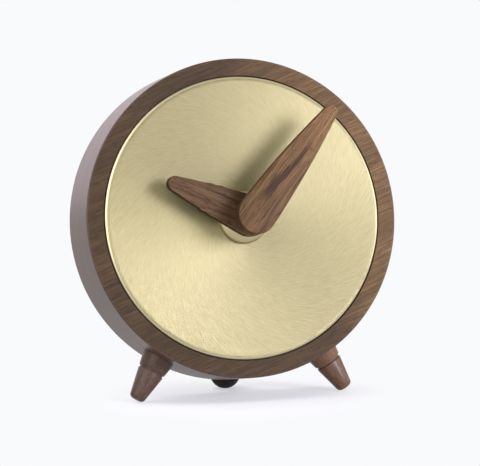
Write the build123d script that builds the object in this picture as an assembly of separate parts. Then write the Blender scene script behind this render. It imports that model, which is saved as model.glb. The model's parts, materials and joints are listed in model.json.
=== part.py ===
from build123d import *
import math
import os

# A wooden desk clock
# Every piece is drawn in a bench frame: X to the right, Y towards the twelve and Z out of the
# dial, with Z = 0 at the front face of the ring. The last section leans the clock back and
# stands it on its three feet. Lengths are in millimetres.

# Case
case_radius = 50.0
case_depth = 24.0
case_front_round = 0.4
case_back_round = 0.8
case_lean_deg = 9.31
recess_depth = 1.0
web_thickness = 4.0
pocket_gap = 0.5
pocket_corner_round = 4.0

# Dial, and the brass cover over its nut
dial_radius = 44.1
dial_gap = 0.5
dial_thickness = 1.5
dial_rim_round = 1.25
nut_cover_radius = 8.2
nut_cover_height = 3.6
nut_cover_wall = 0.7
nut_cover_round = 0.6

# Stem, washers and nut that clamp the movement to the case and the dial
stem_radius = 4.0
stem_hole_gap = 0.25
stem_flange_radius = 6.0
stem_flange_thickness = 0.6
stem_above_nut = 0.3
stem_end_chamfer = 0.3
rubber_washer_radius = 10.0
rubber_washer_thickness = 1.0
dial_washer_radius = 6.6
dial_washer_thickness = 0.4
nut_across_flats = 11.0
nut_thickness = 1.8

# Hands
hour_hand_length = 25.8
hour_hand_hub_radius = 6.4
hour_hand_tip_radius = 2.4
hour_hand_thickness = 3.0
hour_hand_angle_deg = -65.1
minute_hand_length = 40.0
minute_hand_hub_radius = 6.1
minute_hand_tip_radius = 2.1
minute_hand_thickness = 3.6
minute_hand_angle_deg = 39.85
hand_side_radius = 320.0
hand_front_round = 0.7
hand_back_round = 0.4
hour_hand_lift = 1.8
minute_hand_lift = 4.3
hour_bush_radius = 3.6
hour_bush_flange_radius = 4.6
minute_bush_radius = 3.0
minute_bush_flange_radius = 4.2
bush_flange_thickness = 0.4
minute_bush_depth = 2.2
hand_end_gap = 0.4

# Tubes and arbors of the hands
running_gap = 0.05
minute_arbor_radius = 1.9
hour_tube_radius = 2.6
tube_end_below_hand = 0.8
arbor_end_below_bush = 0.2

# Feet
foot_spread_deg = 32.2
foot_plane_depth = 12.6
foot_reach = 15.3
foot_base_radius = 5.15
foot_tip_radius = 2.75
foot_groove_start = 4.0
foot_groove_width = 0.9
foot_groove_depth = 0.45
rear_foot_seat = 44.5
rear_foot_lean_deg = 25.9
rear_foot_base_radius = 4.6
rear_foot_ball_radius = 4.9
rear_foot_groove_start = 2.4
stud_radius = 1.5
stud_in_foot = 6.0
stud_in_case = 8.0
stud_end_chamfer = 0.3
foot_flat_depth = 0.15

# Movement case
movement_depth = 16.0
movement_corner_round = 3.0
movement_wall = 1.2
works_reach = 26.8
works_drop = 10.9
bay_gap = 0.25
fit_gap = 0.1
cover_thickness = 1.2
plate_thickness = 1.0
plate_margin = 3.2
post_radius = 2.0
pin_radius = 1.4
pin_gap = 0.1

# Wheels: a tooth's heights are shares of the module, its half widths shares of the pitch
wheel_thickness = 0.8
wheel_gap = 0.6
pinion_overhang = 0.15
motion_distance = 9.6
centre_distance = 9.52
knob_distance = 10.8
drive_distance = 7.2
rotor_distance = 7.0
motion_bearing_deg = 60.0
third_bearing_deg = 150.0
knob_bearing_deg = 20.0
drive_bearing_deg = 10.0
rotor_bearing_deg = -20.0
cannon_teeth = 12
motion_wheel_teeth = 36
motion_pinion_teeth = 10
hour_wheel_teeth = 40
knob_teeth = 18
centre_wheel_teeth = 60
third_pinion_teeth = 8
third_wheel_teeth = 64
seconds_pinion_teeth = 8
seconds_wheel_teeth = 40
drive_pinion_teeth = 8
drive_wheel_teeth = 48
rotor_teeth = 8
tooth_tip_share = 0.75
tooth_root_share = 1.0
tooth_tip_width_share = 0.12
tooth_pitch_width_share = 0.21
tooth_root_width_share = 0.30
wheel_hub_radius = 1.6
web_recess_depth = 0.25
web_recess_margin = 1.0
arbor_radius = 0.5
pivot_depth = 0.7
pivot_end_gap = 0.1
seconds_pivot_length = 2.4

# Setting knob
knob_radius = 5.5
knob_height = 1.4
knob_lift = 0.4
knob_stem_radius = 1.2
knob_flutes = 24
knob_flute_radius = 0.45
knob_chamfer = 0.25

# Motor
magnet_radius = 2.6
magnet_thickness = 1.0
magnet_lift = 0.3
magnet_hub_radius = 0.9
stator_thickness = 1.0
stator_hole_gap = 0.5
stator_hub_radius = 4.8
stator_leg_width = 3.4
stator_half_height = 9.3
coil_x = 23.0
core_width = 3.0
core_thickness = 0.8
bobbin_gap = 0.3
bobbin_flange_radius = 3.3
bobbin_flange_thickness = 0.8
bobbin_wall = 0.5
core_slot_gap = 0.05
winding_radius = 2.9
screw_radius = 0.7
screw_head_radius = 1.4
screw_head_height = 0.8
screw_length = 4.6
screw_slot_width = 0.35
screw_slot_depth = 0.35

# Electronics
board_left = -25.0
board_right = -7.6
board_bottom = -10.0
board_top = 8.0
board_thickness = 1.0
board_boss_height = 1.0
board_boss_radius = 1.5
chip_x = -19.5
chip_y = 3.0
chip_radius = 3.0
chip_height = 1.2
crystal_x = -12.0
crystal_y = -2.0
crystal_radius = 1.0
crystal_length = 6.0

# Cell and its contacts
cell_radius = 7.1
cell_length = 50.5
cell_nub_radius = 2.75
cell_nub_length = 1.3
cell_edge_round = 0.5
cell_front_gap = 0.15
contact_thickness = 0.4
contact_margin = 0.3
contact_spring_room = 1.7
contact_half_height = 5.0
contact_strip_width = 2.5
contact_tab_length = 3.0
contact_slot_gap = 0.2

# Levels along the dial's axis, from front to back
dial_back = -recess_depth
dial_face = dial_back + dial_thickness
dial_washer_face = dial_face + dial_washer_thickness
nut_face = dial_washer_face + nut_thickness
stem_end = nut_face + stem_above_nut
nut_cover_face = dial_face + nut_cover_height
hour_hand_back = nut_cover_face + hour_hand_lift
hour_hand_face = hour_hand_back + hour_hand_thickness
minute_hand_back = hour_hand_face + minute_hand_lift
minute_hand_face = minute_hand_back + minute_hand_thickness
minute_bush_end = minute_hand_back + minute_bush_depth
web_back = dial_back - web_thickness
movement_front = web_back - rubber_washer_thickness
movement_back = movement_front - movement_depth
works_front = movement_front - movement_wall
works_back = movement_back + cover_thickness
hour_level = works_front - wheel_gap
motion_level = hour_level - wheel_thickness - wheel_gap
centre_level = motion_level - wheel_thickness - wheel_gap
third_level = centre_level - wheel_thickness - wheel_gap
plate_front = third_level - wheel_thickness - wheel_gap
plate_back = plate_front - plate_thickness
seconds_level = plate_back - wheel_gap
drive_level = seconds_level - wheel_thickness - wheel_gap
magnet_front = plate_back - magnet_lift
stator_back = plate_back - stator_thickness
core_back = stator_back - core_thickness
board_front = plate_back - board_boss_height
board_back = board_front - board_thickness
front_pivot_end = works_front + pivot_depth
back_pivot_end = works_back - pivot_depth
plate_front_pivot_end = plate_front - pivot_end_gap
plate_back_pivot_end = plate_back + pivot_end_gap

# Places across the dial: the movement is as wide as its works or its cell with both contacts,
# whichever is wider, square above the dial's axis, and the cell's bay hangs below the works
cell_reach = (cell_length + contact_spring_room) / 2 + contact_thickness + contact_margin
works_half = max(works_reach, cell_reach)
half_width = works_half + movement_wall
works_bottom = -works_drop
partition_bottom = works_bottom - movement_wall
cell_y = partition_bottom - bay_gap - cell_radius
bay_bottom = cell_y - cell_radius - bay_gap
movement_bottom = bay_bottom - movement_wall
cell_z = works_front - cell_front_gap - cell_radius
stem_hole_radius = stem_radius + stem_hole_gap
hour_tube_bore = minute_arbor_radius + running_gap
stem_bore = hour_tube_radius + running_gap
pivot_hole_radius = arbor_radius + running_gap
screw_y = stator_half_height - stator_leg_width / 2


def bearing(start, distance, angle_deg):
    """The point at a distance and angle from another."""
    angle = math.radians(angle_deg)
    return start[0] + distance * math.cos(angle), start[1] + distance * math.sin(angle)


centre_at = (0, 0)
motion_at = bearing(centre_at, motion_distance, motion_bearing_deg)
third_at = bearing(centre_at, centre_distance, third_bearing_deg)
knob_at = bearing(motion_at, knob_distance, knob_bearing_deg)
drive_at = bearing(centre_at, drive_distance, drive_bearing_deg)
rotor_at = bearing(drive_at, rotor_distance, rotor_bearing_deg)

# The posts stand on the movement's front wall and carry the middle plate and the cover
post_left = -17.5
post_low = -7.5
post_high = 17.0
post_right = 16.9
post_top = 19.0
post_foot_x = 9.6
post_foot_y = -8.6
posts = [
    (post_left, post_low),
    (post_left, post_high),
    (post_right, post_top),
    (post_foot_x, post_foot_y),
]

# Two bosses on the back of the middle plate carry the circuit board
board_bosses = [
    (board_right - board_boss_radius, board_bottom + board_boss_radius),
    (post_left, board_top - board_boss_radius),
]


# Plain shapes
upright = (Align.CENTER, Align.CENTER, Align.MIN)


def disc(radius, back, front, at=(0, 0)):
    """A round bar along Z between two levels."""
    return Pos(at[0], at[1], back) * Cylinder(radius, front - back, align=upright)


def ring(radius, bore, back, front, at=(0, 0)):
    """A tube along Z between two levels."""
    return disc(radius, back, front, at) - disc(bore, back, front, at)


def block(left, right, bottom, top, back, front):
    """A box between six levels."""
    centre = Pos((left + right) / 2, (bottom + top) / 2, back)
    return centre * Box(right - left, top - bottom, front - back, align=upright)


def rounded_block(half, bottom, top, corner_round, back, front):
    """A block that reaches as far left as right, with its four long edges rounded."""
    outline = RectangleRounded(2 * half, top - bottom, corner_round)
    return Pos(0, (bottom + top) / 2, back) * extrude(outline, front - back)


def rims(piece, level, radius):
    """The circular edges of a piece at one level and radius."""
    found = piece.edges().filter_by(GeomType.CIRCLE)
    reach = radius / 1000
    return found.filter_by(
        lambda e: abs(e.radius - radius) < reach and abs(e.center().Z - level) < reach
    )


# Toothed wheels
def tooth_points(teeth, pitch_radius, turn_deg):
    """The outline of a wheel whose first tooth points at turn_deg."""
    module = 2 * pitch_radius / teeth
    pitch_deg = 360 / teeth
    root = pitch_radius - tooth_root_share * module
    tip = pitch_radius + tooth_tip_share * module
    flank = [
        (root, -tooth_root_width_share),
        (pitch_radius, -tooth_pitch_width_share),
        (tip, -tooth_tip_width_share),
        (tip, tooth_tip_width_share),
        (pitch_radius, tooth_pitch_width_share),
        (root, tooth_root_width_share),
    ]
    points = []
    for tooth in range(teeth):
        for radius, width_share in flank:
            angle_deg = turn_deg + (tooth + width_share) * pitch_deg
            points.append(bearing(centre_at, radius, angle_deg))
    return points


def toothed(teeth, pitch_radius, turn_deg, back, front, at):
    """A toothed disc between two levels."""
    outline = make_face(Polyline(*tooth_points(teeth, pitch_radius, turn_deg), close=True))
    return Pos(at[0], at[1], back) * extrude(outline, front - back)


def wheel(teeth, pitch_radius, turn_deg, front, at):
    """A toothed wheel with a thin web between its rim and its hub."""
    back = front - wheel_thickness
    rim_radius = pitch_radius - web_recess_margin
    body = toothed(teeth, pitch_radius, turn_deg, back, front, at)
    body -= ring(rim_radius, wheel_hub_radius, back, back + web_recess_depth, at)
    return body - ring(rim_radius, wheel_hub_radius, front - web_recess_depth, front, at)


def meshing_turn(turn_deg, teeth, at, other_teeth, other_at):
    """How far a wheel is turned when it meshes with another that stands at turn_deg."""
    line_deg = math.degrees(math.atan2(other_at[1] - at[1], other_at[0] - at[0]))
    gap_deg = line_deg + 180 - (turn_deg - line_deg) * teeth / other_teeth
    return gap_deg + 180 / other_teeth


def pitch_radii(distance, teeth, other_teeth):
    """The pitch radii of two meshing wheels, from the distance of their axes."""
    total = teeth + other_teeth
    return distance * teeth / total, distance * other_teeth / total


cannon_radius, motion_wheel_radius = pitch_radii(
    motion_distance, cannon_teeth, motion_wheel_teeth
)
motion_pinion_radius, hour_wheel_radius = pitch_radii(
    motion_distance, motion_pinion_teeth, hour_wheel_teeth
)
knob_pinion_radius = motion_wheel_radius * knob_teeth / motion_wheel_teeth
third_pinion_radius, centre_wheel_radius = pitch_radii(
    centre_distance, third_pinion_teeth, centre_wheel_teeth
)
seconds_pinion_radius, third_wheel_radius = pitch_radii(
    centre_distance, seconds_pinion_teeth, third_wheel_teeth
)
drive_pinion_radius, seconds_wheel_radius = pitch_radii(
    drive_distance, drive_pinion_teeth, seconds_wheel_teeth
)
rotor_pinion_radius, drive_wheel_radius = pitch_radii(
    rotor_distance, rotor_teeth, drive_wheel_teeth
)
motion_turn = meshing_turn(0, cannon_teeth, centre_at, motion_wheel_teeth, motion_at)
hour_turn = meshing_turn(0, motion_pinion_teeth, motion_at, hour_wheel_teeth, centre_at)
knob_turn = meshing_turn(motion_turn, motion_wheel_teeth, motion_at, knob_teeth, knob_at)
third_turn = meshing_turn(0, centre_wheel_teeth, centre_at, third_pinion_teeth, third_at)
seconds_turn = meshing_turn(0, third_wheel_teeth, third_at, seconds_pinion_teeth, centre_at)
drive_turn = meshing_turn(0, seconds_wheel_teeth, centre_at, drive_pinion_teeth, drive_at)
rotor_turn = meshing_turn(0, drive_wheel_teeth, drive_at, rotor_teeth, rotor_at)


# Case
def make_case_body():
    """A turned walnut block: a recess for the dial in front, a square pocket behind."""
    body = disc(case_radius, -case_depth, 0)
    body = fillet(rims(body, 0, case_radius), case_front_round)
    body = fillet(rims(body, -case_depth, case_radius), case_back_round)
    body -= disc(dial_radius + dial_gap, dial_back, case_front_round)
    body -= disc(stem_hole_radius, web_back, dial_back)
    pocket_half = half_width + pocket_gap
    pocket_bottom = movement_bottom - pocket_gap
    body -= rounded_block(
        pocket_half, pocket_bottom, pocket_half, pocket_corner_round, -case_depth, web_back
    )
    for axis in foot_axes:
        body -= axis * disc(stud_radius, -stud_in_case, foot_base_radius)
    return body


# Dial and fixing
def make_dial():
    """A brass disc with a rounded rim."""
    dial = ring(dial_radius, stem_hole_radius, dial_back, dial_face)
    return fillet(rims(dial, dial_face, dial_radius), dial_rim_round)


def make_nut_cover():
    """A turned brass cap that stands on the dial over the nut."""
    cap = disc(nut_cover_radius, dial_face, nut_cover_face)
    cap = fillet(rims(cap, nut_cover_face, nut_cover_radius), nut_cover_round)
    cap -= disc(nut_cover_radius - nut_cover_wall, dial_face, nut_cover_face - nut_cover_wall)
    return cap - disc(hour_tube_radius + hand_end_gap, dial_face, nut_cover_face)


def make_centre_bush():
    """The stem of the movement, with the flange that sits in its front wall."""
    stem = disc(stem_radius, works_front, stem_end)
    stem = chamfer(rims(stem, stem_end, stem_radius), stem_end_chamfer)
    stem += disc(stem_flange_radius, works_front, works_front + stem_flange_thickness)
    return stem - disc(stem_bore, works_front, stem_end)


def make_rubber_washer():
    """It lies between the movement and the case's web."""
    return ring(rubber_washer_radius, stem_hole_radius, movement_front, web_back)


def make_dial_washer():
    """A brass washer on the dial, under the nut."""
    return ring(dial_washer_radius, stem_hole_radius, dial_face, dial_washer_face)


def make_fixing_nut():
    """A thin hexagon nut on the stem."""
    blank = RegularPolygon(nut_across_flats / 2, 6, major_radius=False)
    nut = Pos(0, 0, dial_washer_face) * extrude(blank, nut_thickness)
    return nut - disc(stem_radius, dial_washer_face, nut_face)


# Hands
def hand_outline(length, hub_radius, tip_radius):
    """A hub and a tip circle, joined by slightly bowed sides that run smoothly into both."""
    hub = Vector(0, 0)
    tip = Vector(0, length)
    hub_reach = hand_side_radius - hub_radius
    tip_reach = hand_side_radius - tip_radius
    level = (hub_reach**2 - tip_reach**2 + length**2) / (2 * length)
    side_centre = Vector(-math.sqrt(hub_reach**2 - level**2), level)
    hub_way = (hub - side_centre).normalized()
    tip_way = (tip - side_centre).normalized()
    hub_touch = hub + hub_way * hub_radius
    tip_touch = tip + tip_way * tip_radius
    side_middle = side_centre + (hub_way + tip_way).normalized() * hand_side_radius

    def mirrored(point):
        return Vector(-point.X, point.Y)

    outline = ThreePointArc(hub_touch, side_middle, tip_touch)
    outline += ThreePointArc(tip_touch, tip + Vector(0, tip_radius), mirrored(tip_touch))
    outline += ThreePointArc(mirrored(tip_touch), mirrored(side_middle), mirrored(hub_touch))
    outline += ThreePointArc(mirrored(hub_touch), Vector(0, -hub_radius), hub_touch)
    return make_face(outline)


def make_hand(length, hub_radius, tip_radius, back, face, angle_deg):
    """A flat tapered hand, rounded all round, pointing away from the hub."""
    outline = hand_outline(length, hub_radius, tip_radius)
    hand = Pos(0, 0, back) * extrude(outline, face - back)
    hand = fillet(hand.edges().group_by(Axis.Z)[-1], hand_front_round)
    hand = fillet(hand.edges().group_by(Axis.Z)[0], hand_back_round)
    return Rot(0, 0, -angle_deg) * hand


def make_hour_hand():
    """The short hand, bored right through for its bush."""
    hand = make_hand(
        hour_hand_length,
        hour_hand_hub_radius,
        hour_hand_tip_radius,
        hour_hand_back,
        hour_hand_face,
        hour_hand_angle_deg,
    )
    return hand - disc(hour_bush_radius, hour_hand_back, hour_hand_face)


def make_hour_hand_bush():
    """A flanged brass bush, pressed in from behind."""
    bush = disc(hour_bush_radius, hour_hand_back, hour_hand_face)
    flange_back = hour_hand_back - bush_flange_thickness
    bush += disc(hour_bush_flange_radius, flange_back, hour_hand_back)
    return bush - disc(hour_tube_radius, flange_back, hour_hand_face)


def make_minute_hand():
    """The long hand, bored part way from behind for its bush."""
    hand = make_hand(
        minute_hand_length,
        minute_hand_hub_radius,
        minute_hand_tip_radius,
        minute_hand_back,
        minute_hand_face,
        minute_hand_angle_deg,
    )
    return hand - disc(minute_bush_radius, minute_hand_back, minute_bush_end)


def make_minute_hand_bush():
    """A flanged brass sleeve that reaches back almost to the hour hand."""
    sleeve_back = hour_hand_face + hand_end_gap
    bush = disc(minute_bush_radius, sleeve_back, minute_bush_end)
    flange_back = minute_hand_back - bush_flange_thickness
    bush += disc(minute_bush_flange_radius, flange_back, minute_hand_back)
    return bush - disc(minute_arbor_radius, sleeve_back, minute_bush_end)


# Feet: each is turned about its own axis, which leaves the case at Z = 0
def foot_profile(base_radius, end_radius, end_centre, groove_start):
    """A half section: a cone with a groove that runs into a round end."""

    def cone(z):
        return base_radius + (end_radius - base_radius) * z / end_centre

    groove_end = groove_start + foot_groove_width
    groove_middle = (groove_start + groove_end) / 2
    root = -base_radius
    bottom = (cone(groove_middle) - foot_groove_depth, groove_middle)
    half = end_radius * math.cos(math.radians(45))
    outline = Polyline((0, root), (cone(root), root), (cone(groove_start), groove_start))
    outline += ThreePointArc(
        (cone(groove_start), groove_start), bottom, (cone(groove_end), groove_end)
    )
    outline += Line((cone(groove_end), groove_end), (end_radius, end_centre))
    outline += ThreePointArc(
        (end_radius, end_centre), (half, end_centre + half), (0, end_centre + end_radius)
    )
    outline += Line((0, end_centre + end_radius), (0, root))
    return Plane.XZ * make_face(outline)


def make_foot(axis, base_radius, end_radius, end_centre, groove_start):
    """A turned foot, shaped to the case where it meets it and bored for its stud."""
    profile = foot_profile(base_radius, end_radius, end_centre, groove_start)
    foot = revolve(profile, Axis.Z) - disc(stud_radius, -base_radius, stud_in_foot)
    foot = axis * foot - disc(case_radius, -case_depth, case_front_round)
    return foot.solids().sort_by(SortBy.VOLUME)[-1]


def make_stud(axis):
    """A steel stud, half in the foot and half in the case."""
    stud = disc(stud_radius, -stud_in_case, stud_in_foot)
    return axis * chamfer(stud.edges().filter_by(GeomType.CIRCLE), stud_end_chamfer)


def foot_axis(angle_deg):
    """The axis of a front foot, which points away from the dial's axis."""
    x, y = bearing(centre_at, case_radius, angle_deg)
    return Plane(origin=(x, y, -foot_plane_depth), x_dir=(0, 0, 1), z_dir=(x, y, 0)).location


lean = math.radians(case_lean_deg)
rear_lean = math.radians(rear_foot_lean_deg)
straight_down_deg = -90.0
rear_foot_axis = Plane(
    origin=(0, -rear_foot_seat, -case_depth),
    x_dir=(1, 0, 0),
    z_dir=(0, -math.sin(rear_lean), -math.cos(rear_lean)),
).location
foot_axes = [
    foot_axis(straight_down_deg - foot_spread_deg),
    foot_axis(straight_down_deg + foot_spread_deg),
    rear_foot_axis,
]

# Each foot stands on a small flat, and the height of the dial's axis follows from the feet
foot_end_centre = foot_reach - foot_tip_radius
foot_end_drop = (case_radius + foot_end_centre) * math.cos(math.radians(foot_spread_deg))
axis_height = (
    foot_end_drop * math.cos(lean)
    + foot_plane_depth * math.sin(lean)
    + foot_tip_radius
    - foot_flat_depth
)
rear_seat_height = (
    axis_height - rear_foot_seat * math.cos(lean) - case_depth * math.sin(lean)
)
rear_ball_height = rear_foot_ball_radius - foot_flat_depth
rear_foot_length = (rear_seat_height - rear_ball_height) / math.sin(lean + rear_lean)
print("height of the dial's axis", round(axis_height, 2))
print("length of the rear foot to its ball", round(rear_foot_length, 2))


def make_front_foot(axis):
    """One of the two front feet."""
    return make_foot(
        axis, foot_base_radius, foot_tip_radius, foot_end_centre, foot_groove_start
    )


def make_rear_foot():
    """The short rear foot, which ends in a ball."""
    return make_foot(
        rear_foot_axis,
        rear_foot_base_radius,
        rear_foot_ball_radius,
        rear_foot_length,
        rear_foot_groove_start,
    )


# Movement case
def make_movement_housing():
    """The front moulding: walls, the cell's bay, posts, and holes for the pivots."""
    shell = rounded_block(
        half_width,
        movement_bottom,
        half_width,
        movement_corner_round,
        movement_back,
        movement_front,
    )
    inner_round = movement_corner_round - movement_wall
    shell -= rounded_block(
        works_half, bay_bottom, works_half, inner_round, movement_back, works_front
    )
    shell += block(
        -works_half, works_half, partition_bottom, works_bottom, movement_back, works_front
    )
    for at in posts:
        shell += disc(post_radius, plate_front, works_front, at)
        shell += disc(pin_radius, works_back, plate_front, at)
    for y in (-screw_y, screw_y):
        shell += disc(post_radius, plate_back, works_front, (coil_x, y))
        shell -= disc(screw_radius, plate_back, works_front, (coil_x, y))
    shell -= disc(stem_radius, works_front, movement_front)
    shell -= disc(stem_flange_radius, works_front, works_front + stem_flange_thickness)
    for at in (motion_at, third_at, knob_at):
        shell -= disc(pivot_hole_radius, works_front, front_pivot_end + pivot_end_gap, at)
    slot_back = board_back - contact_strip_width - contact_slot_gap
    slot_front = board_back + contact_slot_gap
    slot_width = contact_margin + contact_thickness + contact_slot_gap
    for left in (-works_half, works_half - slot_width):
        shell -= block(
            left, left + slot_width, partition_bottom, works_bottom, slot_back, slot_front
        )
    return shell


def make_movement_cover():
    """The flat back of the works, with blind holes for the pivots."""
    edge = works_half - fit_gap
    cover = block(
        -edge, edge, works_bottom + fit_gap, edge, movement_back, works_back
    )
    corner = movement_corner_round - movement_wall
    upper = cover.edges().filter_by(Axis.Z).group_by(Axis.Y)[-1]
    cover = fillet(upper, corner)
    for at in (centre_at, drive_at, rotor_at):
        cover -= disc(pivot_hole_radius, back_pivot_end - pivot_end_gap, works_back, at)
    return cover - disc(knob_stem_radius + running_gap, movement_back, works_back, knob_at)


def make_middle_plate():
    """The plate between the hands' wheels and the fast wheels, on the posts' shoulders."""
    left = post_left - plate_margin
    right = post_right + pin_radius
    bottom = works_bottom + fit_gap
    top = post_top + plate_margin
    plate = block(left, right, bottom, top, plate_back, plate_front)
    for at in posts:
        plate -= disc(pin_radius + pin_gap, plate_back, plate_front, at)
    for at in (centre_at, motion_at, third_at, drive_at, rotor_at):
        plate -= disc(pivot_hole_radius, plate_back, plate_front, at)
    plate -= disc(knob_stem_radius + running_gap, plate_back, plate_front, knob_at)
    for at in board_bosses:
        plate += disc(board_boss_radius, board_front, plate_back, at)
    return plate


# Wheels of the hands
def make_hour_wheel():
    """The wheel whose tube carries the hour hand."""
    tube_end = hour_hand_face - tube_end_below_hand
    body = wheel(hour_wheel_teeth, hour_wheel_radius, hour_turn, hour_level, centre_at)
    body += disc(hour_tube_radius, hour_level - wheel_thickness, tube_end)
    return body - disc(hour_tube_bore, hour_level - wheel_thickness, tube_end)


def make_minute_arbor():
    """The brass arbor that carries the minute hand, with the cannon pinion cut on it."""
    pinion_front = motion_level + pinion_overhang
    arbor_back = centre_level - wheel_thickness
    arbor = disc(minute_arbor_radius, arbor_back, minute_bush_end - arbor_end_below_bush)
    arbor += toothed(cannon_teeth, cannon_radius, 0, centre_level, pinion_front, centre_at)
    bore_end = arbor_back + seconds_pivot_length
    return arbor - disc(pivot_hole_radius, arbor_back, bore_end)


def make_centre_wheel():
    """It turns once an hour, pressed on the minute arbor."""
    body = wheel(centre_wheel_teeth, centre_wheel_radius, 0, centre_level, centre_at)
    hub_radius = minute_arbor_radius + wheel_hub_radius
    body += disc(hub_radius, centre_level - wheel_thickness, centre_level)
    return body - disc(minute_arbor_radius, centre_level - wheel_thickness, centre_level)


def make_motion_wheel():
    """It takes the cannon pinion's turn to the hour wheel, twelve times slower."""
    body = wheel(motion_wheel_teeth, motion_wheel_radius, motion_turn, motion_level, motion_at)
    pinion_front = hour_level + pinion_overhang
    body += toothed(
        motion_pinion_teeth, motion_pinion_radius, 0, motion_level, pinion_front, motion_at
    )
    return body + disc(arbor_radius, plate_back_pivot_end, front_pivot_end, motion_at)


def make_setting_knob():
    """The knob behind the movement, its stem, and the pinion on the motion wheel."""
    pinion_back = motion_level - wheel_thickness
    knob_front = movement_back - knob_lift
    knob_back = knob_front - knob_height
    knob = disc(knob_radius, knob_back, knob_front, knob_at)
    knob = chamfer(rims(knob, knob_back, knob_radius), knob_chamfer)
    for flute in range(knob_flutes):
        at = bearing(knob_at, knob_radius, flute * 360 / knob_flutes)
        knob -= disc(knob_flute_radius, knob_back, knob_front, at)
    knob += disc(knob_stem_radius, knob_front, pinion_back, knob_at)
    knob += toothed(
        knob_teeth, knob_pinion_radius, knob_turn, pinion_back, motion_level, knob_at
    )
    return knob + disc(arbor_radius, motion_level, front_pivot_end, knob_at)


# Going train
def make_third_wheel():
    """Driven by the seconds pinion, it drives the centre wheel."""
    body = wheel(third_wheel_teeth, third_wheel_radius, 0, third_level, third_at)
    pinion_front = centre_level + pinion_overhang
    body += toothed(
        third_pinion_teeth, third_pinion_radius, third_turn, third_level, pinion_front, third_at
    )
    return body + disc(arbor_radius, plate_back_pivot_end, front_pivot_end, third_at)


def make_seconds_wheel():
    """It turns once a minute behind the minute arbor, in whose end it has its pivot."""
    body = wheel(seconds_wheel_teeth, seconds_wheel_radius, 0, seconds_level, centre_at)
    pinion_back = third_level - wheel_thickness - pinion_overhang
    pinion_front = third_level + pinion_overhang
    body += toothed(
        seconds_pinion_teeth,
        seconds_pinion_radius,
        seconds_turn,
        pinion_back,
        pinion_front,
        centre_at,
    )
    arbor_back = centre_level - wheel_thickness
    pivot_end = arbor_back + seconds_pivot_length - pivot_end_gap
    return body + disc(arbor_radius, back_pivot_end, pivot_end, centre_at)


def make_drive_wheel():
    """Driven by the rotor, it drives the seconds wheel."""
    body = wheel(drive_wheel_teeth, drive_wheel_radius, 0, drive_level, drive_at)
    pinion_front = seconds_level + pinion_overhang
    body += toothed(
        drive_pinion_teeth, drive_pinion_radius, drive_turn, drive_level, pinion_front, drive_at
    )
    return body + disc(arbor_radius, back_pivot_end, plate_front_pivot_end, drive_at)


def make_rotor_pinion():
    """The motor's arbor: a pinion, a hub for the magnet and two pivots."""
    pinion_back = drive_level - wheel_thickness - pinion_overhang
    pinion_front = drive_level + pinion_overhang
    body = toothed(
        rotor_teeth, rotor_pinion_radius, rotor_turn, pinion_back, pinion_front, rotor_at
    )
    body += disc(magnet_hub_radius, pinion_front, magnet_front, rotor_at)
    return body + disc(arbor_radius, back_pivot_end, plate_front_pivot_end, rotor_at)


def make_rotor_magnet():
    """A small ring magnet on the rotor's hub."""
    back = magnet_front - magnet_thickness
    return ring(magnet_radius, magnet_hub_radius, back, magnet_front, rotor_at)


# Motor
def make_stator():
    """Soft iron: a leg round the magnet, and two arms that reach to the coil's core."""
    x, y = rotor_at
    half_leg = stator_leg_width / 2
    right = coil_x + core_width / 2
    arm_inside = stator_half_height - stator_leg_width
    plate = block(
        x - half_leg,
        x + half_leg,
        -stator_half_height,
        stator_half_height,
        stator_back,
        plate_back,
    )
    plate += disc(stator_hub_radius, stator_back, plate_back, rotor_at)
    for low in (-stator_half_height, arm_inside):
        plate += block(x, right, low, low + stator_leg_width, stator_back, plate_back)
    plate -= disc(magnet_radius + stator_hole_gap, stator_back, plate_back, rotor_at)
    for level in (-screw_y, screw_y):
        plate -= disc(screw_radius + pin_gap, stator_back, plate_back, (coil_x, level))
    return plate


def make_coil_core():
    """The iron strip through the bobbin, screwed on the stator's arms."""
    half = core_width / 2
    strip = block(
        coil_x - half,
        coil_x + half,
        -stator_half_height,
        stator_half_height,
        core_back,
        stator_back,
    )
    for level in (-screw_y, screw_y):
        strip -= disc(screw_radius + pin_gap, core_back, stator_back, (coil_x, level))
    return strip


def along_coil(radius, low, high):
    """A round bar along the coil's axis."""
    centre_z = stator_back - core_thickness / 2
    turned = Pos(coil_x, low, centre_z) * Rot(-90, 0, 0)
    return turned * Cylinder(radius, high - low, align=upright)


bobbin_half = stator_half_height - stator_leg_width - bobbin_gap
winding_half = bobbin_half - bobbin_flange_thickness
bobbin_tube_radius = math.hypot(core_width, core_thickness) / 2 + bobbin_wall


def make_coil_bobbin():
    """A plastic reel between the stator's arms, with a slot for the core."""
    reel = along_coil(bobbin_tube_radius, -bobbin_half, bobbin_half)
    reel += along_coil(bobbin_flange_radius, -bobbin_half, -winding_half)
    reel += along_coil(bobbin_flange_radius, winding_half, bobbin_half)
    half = core_width / 2 + core_slot_gap
    return reel - block(
        coil_x - half,
        coil_x + half,
        -bobbin_half,
        bobbin_half,
        core_back - core_slot_gap,
        stator_back + core_slot_gap,
    )


def make_coil_winding():
    """The copper between the reel's flanges, as one sleeve."""
    sleeve = along_coil(winding_radius, -winding_half, winding_half)
    return sleeve - along_coil(bobbin_tube_radius, -winding_half, winding_half)


def make_stator_screw(y):
    """A slotted screw through the core and the stator into its post."""
    at = (coil_x, y)
    head_back = core_back - screw_head_height
    screw = disc(screw_head_radius, head_back, core_back, at)
    screw += disc(screw_radius, core_back, core_back + screw_length, at)
    half = screw_slot_width / 2
    return screw - block(
        coil_x - screw_head_radius,
        coil_x + screw_head_radius,
        y - half,
        y + half,
        head_back,
        head_back + screw_slot_depth,
    )


# Electronics
def make_circuit_board():
    """A small board on the middle plate's bosses, located by one of the posts."""
    board = block(board_left, board_right, board_bottom, board_top, board_back, board_front)
    return board - disc(pin_radius + pin_gap, board_back, board_front, posts[0])


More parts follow.
